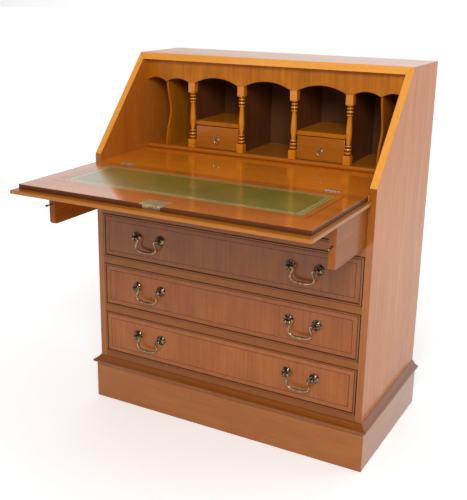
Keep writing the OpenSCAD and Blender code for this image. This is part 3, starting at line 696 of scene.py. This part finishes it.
def add_screw_head(bm, place, slot_turn):
    """A countersunk head with a sawn slot, a hair proud of its plate."""
    radius, rise, slot_half, slot_depth, slot_inset = 0.0023, 0.0003, 0.0003, 0.00022, 0.00003
    matrix = Matrix.Translation(place) @ Matrix.Rotation(slot_turn, 4, "Z")
    rim = bmesh.ops.create_circle(
        bm, cap_ends=True, radius=radius, segments=20, matrix=matrix
    )["verts"]
    top = bmesh.ops.extrude_face_region(bm, geom=[rim[0].link_faces[0]])["geom"]
    verts = [g for g in top if isinstance(g, bmesh.types.BMVert)]
    bmesh.ops.translate(bm, verts=verts, vec=(0, 0, rise))
    bmesh.ops.scale(
        bm, verts=verts, vec=(0.88, 0.88, 1), space=Matrix.Translation(-place)
    )
    across = matrix.to_3x3() @ Vector((0, 1, 0))
    head = [g for g in top if isinstance(g, bmesh.types.BMFace)]
    for way in (-1, 1):
        parts = {g for f in head for g in (f, *f.edges, *f.verts)}
        cut = bmesh.ops.bisect_plane(
            bm, geom=list(parts), plane_co=place + across * slot_half * way, plane_no=across
        )
        head = [g for g in cut["geom"] if isinstance(g, bmesh.types.BMFace)]
    slot = [f for f in head if abs((f.calc_center_median() - place).dot(across)) < slot_half / 2]
    bmesh.ops.inset_region(bm, faces=slot, thickness=slot_inset, depth=-slot_depth)


deck_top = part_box("writing_deck")[1].z
hinge_line_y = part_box("writing_deck")[0].y
half_hinge = 0.020
hinge_middle_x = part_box("deck_hinge_leaves")[1].x - half_hinge
hinge_screw_in = 0.010
hinge_screw_pitch = 13.0
for side, body in ((1, "carcase"), (-1, "fall")):
    bm = bmesh.new()
    for x_side in (-1, 1):
        for step in (-hinge_screw_pitch, 0.0, hinge_screw_pitch):
            x = x_side * hinge_middle_x + step / 1000
            place = Vector((x, hinge_line_y + side * hinge_screw_in, deck_top))
            add_screw_head(bm, place, step + x_side)
    bmesh.ops.recalc_face_normals(bm, faces=bm.faces)
    make_piece(bm, f"{body}_hinge_screws", body, [hinge_brass], (), sharp=30)

lock_low, lock_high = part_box("fall_lock")
lock_screw_in = 0.006
selvedge = 0.002
bm = bmesh.new()
for x in (lock_low.x + lock_screw_in, lock_high.x - lock_screw_in):
    for y in (lock_low.y + selvedge + lock_screw_in, lock_high.y - lock_screw_in):
        add_screw_head(bm, Vector((x, y, lock_high.z)), x * 900 + y)
bmesh.ops.recalc_face_normals(bm, faces=bm.faces)
make_piece(bm, "lock_screws", "fall", [lock_brass], (), sharp=30)


# ------------------------------------------------------------------ lopers
# Two boards slide out beside the frieze drawer to carry the open fall. Each has a veneered
# face and a small turned brass knob in its front end.
loper_wood = polished_wood(
    "loper_veneer", (0.340, 0.100, 0.010), (0.212, 0.051, 0.004), coat=0.15
)
loper_corner = 0.0008
OUTWARD = Vector((0, -1, 0))
knob_profile = (
    (0.0, 0.0), (4.0, 0.0), (4.0, 0.7), (3.3, 1.4), (2.2, 2.2), (1.8, 3.6), (1.7, 9.0),
    (1.9, 14.0), (2.4, 16.6), (3.2, 18.6), (3.6, 20.2), (3.4, 21.8), (2.6, 23.2), (1.3, 23.9),
    (0.0, 24.0),
)

for side in ("left", "right"):
    bm = copy_of(f"{side}_loper")
    ease_edges(bm, loper_corner, 2, over=40)
    lay_grain(bm, FORE_AND_AFT, 0.6 if side == "left" else 3.7)
    for f in bm.faces:
        if f.normal.y < -0.9:
            lay_grain(bm, UPRIGHT, 0.3, [f])
    make_piece(
        bm, f"{side}_loper_board", f"{side}_loper", [loper_wood], [f"{side}_loper"],
    )
    low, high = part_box(f"{side}_loper_knob")
    bm = bmesh.new()
    foot = Vector(((low.x + high.x) / 2, high.y, (low.z + high.z) / 2))
    turned(bm, knob_profile, foot, OUTWARD, steps=24)
    close_up(bm)
    make_piece(
        bm, f"{side}_loper_pull", f"{side}_loper", [rosette_brass], [f"{side}_loper_knob"],
        sharp=40,
    )


# ------------------------------------------------------------------ drawers
# Each front is veneered: an upright field, a dark string line and a crossbanded border with mitred
# corners, inside a cock bead that stands proud. The groove round the border is coloured near-black
# and the bead darkened, both as painted shade. The boxes behind are plain beech.
# The bead is darker than the fronts it frames: painted shade of the gaps on either side.
bead_wood = polished_wood("drawer_bead", (0.246, 0.074, 0.009), (0.149, 0.037, 0.003))
# Near-black colour for the groove round each front: painted shade.
quirk_painted_shade = polished_wood("drawer_quirk_painted_shade", (0.045, 0.013, 0.004), (0.022, 0.006, 0.002), coat=0.3)
quirk_width = 0.0022
quirk_depth = 0.0014
band_width = 0.0165
inlay_width = 0.0019
bead_nose = 0.0015
box_corner = 0.001
FIELD, BAND, INLAY, QUIRK = 0, 1, 2, 3


def banded_front(bm, face, shift):
    """Sinks a groove round a front and lays crossbanding and a string line inside it."""
    face.material_index = BAND
    wall = 0.0001
    quirk = bmesh.ops.inset_region(bm, faces=[face], thickness=wall, depth=-quirk_depth)["faces"]
    quirk += bmesh.ops.inset_region(bm, faces=[face], thickness=quirk_width)["faces"]
    quirk += bmesh.ops.inset_region(bm, faces=[face], thickness=wall, depth=quirk_depth)["faces"]
    # The groove faces take the painted shade.
    for f in quirk:
        f.material_index = QUIRK
    band = bmesh.ops.inset_region(bm, faces=[face], thickness=band_width)["faces"]
    string = bmesh.ops.inset_region(bm, faces=[face], thickness=inlay_width)["faces"]
    lay_grain(bm, UPRIGHT, shift, [face])
    face.material_index = FIELD
    for f in string:
        f.material_index = INLAY
    middle = face.calc_center_median()
    for f in band:
        f.material_index = BAND
        off = f.calc_center_median() - middle
        long_side = max(f.edges, key=lambda e: e.calc_length())
        run = (long_side.verts[1].co - long_side.verts[0].co).normalized()
        along = UPRIGHT if abs(run.x) > 0.5 else LENGTHWISE
        lay_grain(bm, along, shift + 2 + (1 if off.x + off.z > 0 else 0), [f])


# One veneer in four tones, the upper drawer darkest and the lower lightest: painted shade from the
# fall above and painted light from the floor below.
for count, (level, light, dark) in enumerate((
    ("frieze", (0.33, 0.094, 0.010), (0.19, 0.043, 0.004)),
    ("upper", (0.290, 0.086, 0.009), (0.165, 0.040, 0.004)),
    ("middle", (0.350, 0.102, 0.015), (0.205, 0.048, 0.006)),
    ("lower", (0.415, 0.126, 0.020), (0.250, 0.061, 0.008)),
)):
    body = f"{level}_drawer"
    front_wood = polished_wood(f"{level}_drawer_field", light, dark, contrast=2.8, coat=0.6)
    band_wood = polished_wood(f"{level}_drawer_band", light, dark, contrast=1.8, coat=0.6)
    bm = copy_of(f"{body}_front")
    lay_grain(bm, LENGTHWISE, count * 1.7)
    for f in bm.faces:
        f.material_index = BAND
    face = min(bm.faces, key=lambda f: f.calc_center_median().y)
    banded_front(bm, face, count * 2.3 + 0.4)
    make_piece(
        bm, f"{body}_front_board", body, [front_wood, band_wood, string_wood, quirk_painted_shade],
        [f"{body}_front"],
    )
    bm = copy_of(f"{body}_bead")
    low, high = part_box(f"{body}_bead")
    ease_edges(bm, bead_nose, 3, near=lambda p: p.y < low.y + 5 * hair)
    for f in bm.faces:
        middle = f.calc_center_median()
        from_end = min(middle.x - low.x, high.x - middle.x)
        from_edge = min(middle.z - low.z, high.z - middle.z)
        lay_grain(bm, UPRIGHT if from_end < from_edge else LENGTHWISE, count + 0.3, [f])
    make_piece(bm, f"{body}_cock_bead", body, [bead_wood], [f"{body}_bead"])
    bm = copy_of(f"{body}_box")
    ease_edges(bm, box_corner, 2)
    lay_grain(bm, FORE_AND_AFT, count + 5.1)
    make_piece(bm, f"{body}_box_boards", body, [inner_beech], [f"{body}_box"])


# ------------------------------------------------------------------ handles
# Each drawer has two swan-neck bails of cast brass. A bail hangs by its ends in two round
# posts with stepped rosettes, whose bolts pass through the front.
rosette_profile = (
    (0.0, 0.0), (14.3, 0.0), (14.5, 0.8), (14.2, 1.6), (13.4, 2.1), (12.6, 1.9), (12.0, 1.6),
    (11.2, 1.8), (10.4, 2.8), (9.0, 3.9), (7.2, 4.6), (5.4, 5.0), (4.2, 5.6), (3.7, 6.8),
    (3.7, 8.0), (4.4, 9.2), (5.4, 11.0), (6.0, 13.2), (6.0, 15.6), (5.5, 17.8), (4.4, 19.4),
    (3.0, 20.4), (1.5, 20.9), (0.0, 21.0),
)
neck_curves = (
    ((41.5, 0.0), (38.0, 0.0), (35.0, 0.0), (33.0, 0.0)),
    ((33.0, 0.0), (27.0, 0.0), (25.0, -5.0), (28.5, -10.5)),
    ((28.5, -10.5), (33.5, -18.0), (37.0, -28.0), (26.0, -34.0)),
    ((26.0, -34.0), (19.0, -38.0), (8.0, -38.0), (0.0, -38.0)),
)
neck_radii = (2.0, 2.8, 2.3, 3.0, 4.2)
grip_flatness = 0.66
plain_radius = 2.4


def bail_path(steps=7):
    """(x, z, radius) in millimetres from the left post to the right one."""
    points = []
    for n, c in enumerate(neck_curves):
        for i in range(0 if n == 0 else 1, steps + 1):
            t = i / steps
            s = 1 - t
            weights = (s ** 3, 3 * s * s * t, 3 * s * t * t, t ** 3)
            x = sum(w * p[0] for w, p in zip(weights, c))
            z = sum(w * p[1] for w, p in zip(weights, c))
            points.append((x, z, neck_radii[n] * s + neck_radii[n + 1] * t))
    left = [(-x, z, r) for x, z, r in points]
    return left + points[-2::-1]


def add_bail(bm, place, sides=14):
    """Rings along the path, bridged one to the next and closed at both ends."""
    path = bail_path()
    before = None
    for i, (x, z, r) in enumerate(path):
        x0, z0, _ = path[max(i - 1, 0)]
        x1, z1, _ = path[min(i + 1, len(path) - 1)]
        way = Vector((x1 - x0, 0, z1 - z0)).normalized()
        turn = Vector((0, 0, 1)).rotation_difference(way).to_matrix().to_4x4()
        spot = place + Vector((x, 0, z)) / 1000
        flat = 1 - (1 - grip_flatness) * min(1, max(0, r - plain_radius))
        ring = bmesh.ops.create_circle(
            bm, segments=sides, radius=r / 1000,
            matrix=Matrix.Translation(spot) @ Matrix.Diagonal((1, flat, 1, 1)) @ turn,
        )["verts"]
        edges = list({e for v in ring for e in v.link_edges})
        if before:
            bmesh.ops.bridge_loops(bm, edges=before + edges)
        before = edges
    bmesh.ops.holes_fill(bm, edges=bm.edges, sides=sides)
    bmesh.ops.recalc_face_normals(bm, faces=bm.faces)


half_post_spacing = 0.040
joints = frame["record"]["behaviour"]["joints"]
pivots = {j["name"]: Vector(j["pos_m"]) for j in joints if "pos_m" in j}

for level in ("frieze", "upper", "middle", "lower"):
    body = f"{level}_drawer"
    face_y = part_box(f"{body}_front")[0].y
    bm = bmesh.new()
    for side in ("left", "right"):
        pivot = pivots[f"{body}_{side}_bail_pivot"]
        for x in (-half_post_spacing, half_post_spacing):
            foot = Vector((pivot.x + x, face_y, pivot.z))
            turned(bm, rosette_profile, foot, OUTWARD, steps=32)
        bail = bmesh.new()
        add_bail(bail, pivot)
        make_piece(
            bail, f"{body}_{side}_swan_neck", f"{body}_{side}_bail", [aged_brass],
            [f"{body}_{side}_bail"], sharp=60,
        )
    close_up(bm)
    make_piece(
        bm, f"{body}_rosettes", body, [rosette_brass], [f"{body}_posts"], sharp=45
    )


# ------------------------------------------------------------------ small drawers
# Two small drawers sit under the shelves of the gallery. Each has a plain polished front with
# eased edges and a brass ring that hangs from an eye on a round plate.
small_front_wood = polished_wood("small_drawer_front", (0.482, 0.155, 0.010), (0.310, 0.082, 0.003))
small_edge = 0.0014
small_front_depth = 0.0091
half_eye_space = 0.06
wire_ease = 0.98
FRONT, BOX, METAL = 0, 1, 2

for side in ("left", "right"):
    body = f"{side}_small_drawer"
    low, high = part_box(body)
    middle_x = (low.x + high.x) / 2
    bm = copy_of(body)
    board_y = min(v.co.y for v in bm.verts if abs(v.co.x - middle_x) > half_eye_space)
    ease_edges(
        bm, small_edge, 3,
        near=lambda p: abs(p.y - board_y) < hair and (
            abs(p.x - middle_x) > half_eye_space
            or p.z < low.z + 10 * hair or p.z > high.z - 10 * hair
        ),
    )
    lay_grain(bm, FORE_AND_AFT, 1.0)
    fronts = []
    for f in bm.faces:
        f.material_index = BOX
        if all(v.co.y < board_y - hair / 2 for v in f.verts):
            f.material_index = METAL
        elif all(v.co.y < board_y + small_front_depth for v in f.verts):
            if f.calc_center_median().y > board_y - 2 * hair:
                f.material_index = FRONT
                fronts.append(f)
    lay_grain(bm, LENGTHWISE, 2.2 if side == "left" else 6.1, fronts)
    make_piece(
        bm, f"{body}_case", body, [small_front_wood, inner_beech, lock_brass], [body],
        sharp=40,
    )
    ring_low, ring_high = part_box(f"{side}_ring_pull")
    ring_centre = (ring_low + ring_high) / 2
    wire = (ring_high.y - ring_low.y) / 2
    ring_radius = (ring_high.x - ring_low.x) / 2 - wire
    bm = bmesh.new()
    ring = bmesh.ops.create_circle(
        bm, segments=12, radius=wire * wire_ease,
        matrix=Matrix.Translation(ring_centre + Vector((ring_radius, 0, 0))),
    )["verts"]
    edges = list({e for v in ring for e in v.link_edges})
    bmesh.ops.spin(
        bm, geom=ring + edges, cent=ring_centre, axis=(0, 1, 0), angle=2 * math.pi, steps=32,
        use_merge=True,
    )
    close_up(bm)
    make_piece(
        bm, f"{side}_pull_ring", f"{side}_ring_pull", [ring_brass], [f"{side}_ring_pull"],
        sharp=60,
    )


# ------------------------------------------------------------------ studio
# A white floor that runs out of sight and glows as painted light, weakest near the desk and
# stronger further off, a softbox high at the front, weaker ones overhead and behind the right side,
# and a white room that is brighter behind the desk.
floor_half = 30.0
bm = bmesh.new()
bmesh.ops.create_grid(bm, x_segments=1, y_segments=1, size=floor_half)
mesh = bpy.data.meshes.new("studio_floor")
bm.to_mesh(mesh)
bm.free()
floor = bpy.data.objects.new("studio_floor", mesh)
bpy.context.scene.collection.objects.link(floor)
floor_paint = bpy.data.materials.new("studio_white")
floor_paint.use_nodes = True
tree = floor_paint.node_tree
paint = tree.nodes["Principled BSDF"]
paint.inputs["Base Color"].default_value = (0.90, 0.90, 0.90, 1)
paint.inputs["Roughness"].default_value = 0.9
paint.inputs["Emission Color"].default_value = (1.0, 1.0, 1.0, 1)
# The floor's glow is painted light: it lights the desk from below and grows brighter away from the
# desk.
glow_near, glow_far = 0.36, 0.68
glow_starts, glow_ends = 0.7, 2.0
distance = tree.nodes.new("ShaderNodeVectorMath")
distance.operation = "LENGTH"
tree.links.new(tree.nodes.new("ShaderNodeTexCoord").outputs["Object"], distance.inputs[0])
floor_glow = add_ramp(
    tree, distance.outputs["Value"], glow_starts, glow_ends, glow_near, glow_far
)
tree.links.new(floor_glow, paint.inputs["Emission Strength"])
mesh.materials.append(floor_paint)
floor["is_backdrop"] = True


def hang_softbox(name, place, aim, width, height, watts):
    """A lamp behind a white cloth, aimed at a point."""
    lamp_data = bpy.data.lights.new(name, "AREA")
    lamp_data.shape = "RECTANGLE"
    lamp_data.size = width
    lamp_data.size_y = height
    lamp_data.energy = watts
    lamp = bpy.data.objects.new(name, lamp_data)
    lamp.location = place
    lamp.rotation_euler = (Vector(aim) - Vector(place)).to_track_quat("-Z", "Y").to_euler()
    lamp.visible_camera = False
    bpy.context.scene.collection.objects.link(lamp)


hang_softbox("front_softbox", (1.2, -2.7, 2.3), (0, -0.2, 0.4), 1.2, 1.0, 72)
hang_softbox("overhead_softbox", (0.3, -0.3, 3.1), (0.1, -0.2, 0), 3.2, 2.8, 15)
hang_softbox("side_softbox", (2.7, 1.5, 2.3), (1.0, 0.2, 0), 1.6, 1.6, 12)

world = bpy.data.worlds.new("white_room")
bpy.context.scene.world = world
world.use_nodes = True
tree = world.node_tree
direction = tree.nodes.new("ShaderNodeTexCoord").outputs["Generated"]
split = tree.nodes.new("ShaderNodeSeparateXYZ")
tree.links.new(direction, split.inputs[0])
high = add_ramp(tree, split.outputs["Z"], 0.12, 0.5)
low = add_math(tree, "SUBTRACT", 1.0, high)
glow = 0.0
walls = (("X", -1, 0.25, 0.85), ("X", 1, 0.1, 0.2), ("Y", -1, 0.05, 0.12), ("Y", 1, 1.5, 1.7))
for axis, way, near_floor, overhead in walls:
    facing = add_math(tree, "MAXIMUM", add_math(tree, "MULTIPLY", split.outputs[axis], way), 0.0)
    facing = add_math(tree, "POWER", facing, 2.0)
    band = add_math(tree, "MULTIPLY", high, overhead)
    band = add_math(tree, "MULTIPLY_ADD", low, near_floor, band)
    glow = add_math(tree, "MULTIPLY_ADD", facing, band, glow)
tree.links.new(glow, tree.nodes["Background"].inputs["Strength"])
tree.nodes["Background"].inputs["Color"].default_value = (1.0, 0.99, 0.985, 1)
bpy.context.scene.view_settings.view_transform = "Standard"
bpy.context.scene.view_settings.look = "None"


# ------------------------------------------------------------------ camera
# The desk is seen from the right and a little above, with a mild long lens.
lens = bpy.data.cameras.new("camera")
lens.sensor_fit = "HORIZONTAL"
lens.sensor_width = 36
lens.lens = 64.7283
lens.shift_x, lens.shift_y = 0.056874, -0.028266
camera_place = Vector((1.02525, -2.09488, 1.21954))
azimuth, elevation, roll = 29.824, 16.876, 0.457
camera = bpy.data.objects.new("camera", lens)
camera.matrix_world = (
    Matrix.Translation(camera_place)
    @ Matrix.Rotation(math.radians(azimuth), 4, "Z")
    @ Matrix.Rotation(math.radians(90 - elevation), 4, "X")
    @ Matrix.Rotation(math.radians(roll), 4, "Z")
)
bpy.context.scene.collection.objects.link(camera)
bpy.context.scene.camera = camera

low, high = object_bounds()
